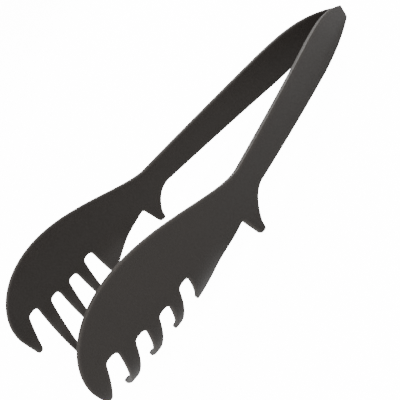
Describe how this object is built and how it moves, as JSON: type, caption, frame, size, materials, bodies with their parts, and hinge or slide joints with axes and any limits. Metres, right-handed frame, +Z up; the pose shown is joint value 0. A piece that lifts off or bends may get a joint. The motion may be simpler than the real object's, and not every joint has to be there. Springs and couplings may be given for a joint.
{
  "type": "sprung kitchen tongs",
  "caption": "One-piece moulded kitchen tongs: a U-bend spring joins two flat handles that end in dished heads with curled prongs and a hook for a pot rim.",
  "frame": {"origin": "on the table, under the middle of the tongs' box, with the tongs standing on the roots of the handles and the two spurs, prongs down", "axes": "+X from the U-bend towards the heads, +Y towards the left arm, +Z up from the table to the back edges"},
  "size_m": [0.289, 0.112, 0.0606],
  "materials": {
    "nylon": "fine satin mould texture"
  },
  "bodies": {
    "bow": {"spring_bow": "nylon"},
    "left_leaf": {"left_spring_leaf": "nylon"},
    "right_leaf": {"right_spring_leaf": "nylon"},
    "left": {"left_arm": "nylon"},
    "right": {"right_arm": "nylon"}
  },
  "joints": [
    {"name": "left_bow_flex", "type": "hinge", "parent": "bow", "child": "left_leaf", "pos_m": [-0.1383, 0.0062, 0.00716], "axis": [0.0957, 0, -0.9954], "range_deg": [-2, 3.2], "stiffness_Nm_per_rad": 5},
    {"name": "left_squeeze", "type": "hinge", "parent": "left_leaf", "child": "left", "pos_m": [-0.10805, 0.01548, 0.01007], "axis": [0.0957, 0, -0.9954], "range_deg": [-2, 3.2], "stiffness_Nm_per_rad": 5},
    {"name": "right_bow_flex", "type": "hinge", "parent": "bow", "child": "right_leaf", "pos_m": [-0.1383, -0.0062, 0.00716], "axis": [-0.0957, 0, 0.9954], "range_deg": [-2, 3.2], "stiffness_Nm_per_rad": 5},
    {"name": "right_squeeze", "type": "hinge", "parent": "right_leaf", "child": "right", "pos_m": [-0.10805, -0.01548, 0.01007], "axis": [-0.0957, 0, 0.9954], "range_deg": [-2, 3.2], "stiffness_Nm_per_rad": 5}
  ],
  "couplings": [
    {"joint": "left_bow_flex", "follows": "left_squeeze", "ratio": 1},
    {"joint": "right_bow_flex", "follows": "right_squeeze", "ratio": 1}
  ]
}
